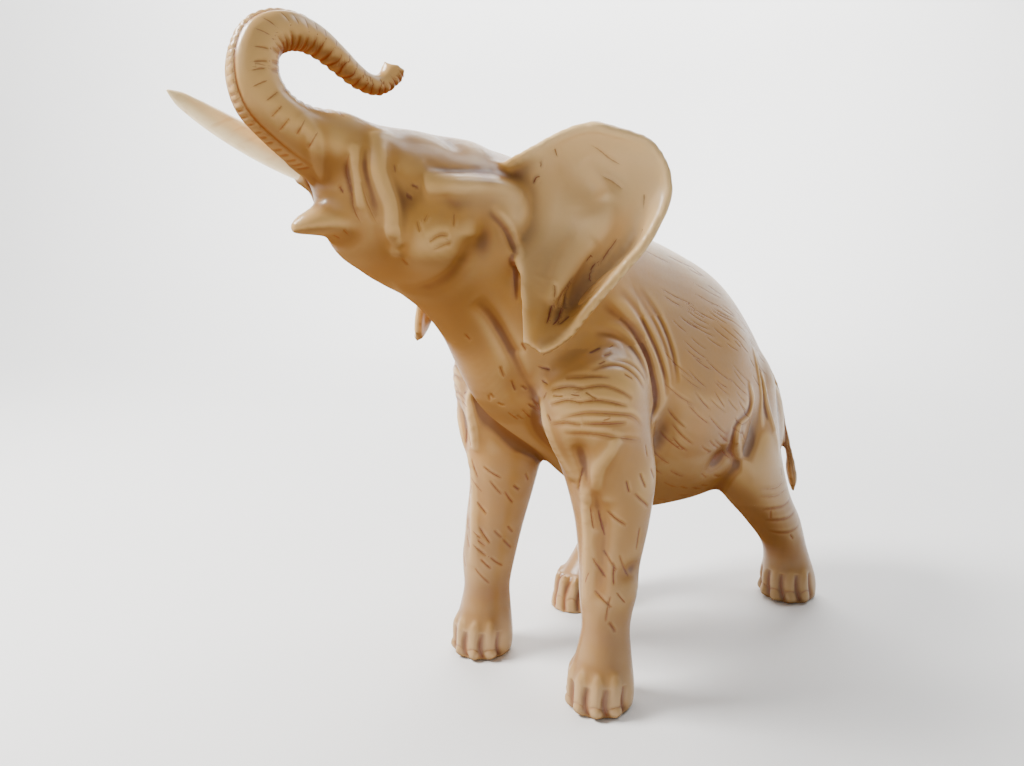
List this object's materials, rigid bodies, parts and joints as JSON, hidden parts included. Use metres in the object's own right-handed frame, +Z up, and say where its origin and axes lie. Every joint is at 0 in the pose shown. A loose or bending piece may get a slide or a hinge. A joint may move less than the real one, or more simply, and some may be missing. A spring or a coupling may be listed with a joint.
{
  "type": "elephant figurine",
  "caption": "Free-standing trumpeting elephant figurine with a raised curled trunk, spread ears and a striding stance, cast in glossy tan resin with one pale tusk.",
  "frame": {"origin": "on the ground, under the middle of the whole figure", "axes": "+Z up; the elephant faces -Y and its left side is +X"},
  "size_m": [0.1873, 0.4999, 0.4198],
  "materials": {
    "resin": "glossy cast resin, tan with reddish-brown stain in the carved strokes",
    "tusk": "glossy cream resin",
    "steel": "plain bright bar"
  },
  "bodies": {
    "root": {"torso": "resin", "head": "resin", "trunk": "resin", "left_ear": "resin", "right_ear": "resin", "right_tusk": "tusk", "tail": "resin", "front_left_leg": "resin", "front_right_leg": "resin", "rear_left_leg": "resin", "rear_right_leg": "resin", "neck_dowel": "steel", "front_left_leg_dowel": "steel", "front_right_leg_dowel": "steel", "rear_left_leg_dowel": "steel", "rear_right_leg_dowel": "steel", "trunk_wire": "steel", "left_ear_pins": "steel", "right_ear_pins": "steel", "tail_pin": "steel"}
  },
  "joints": []
}
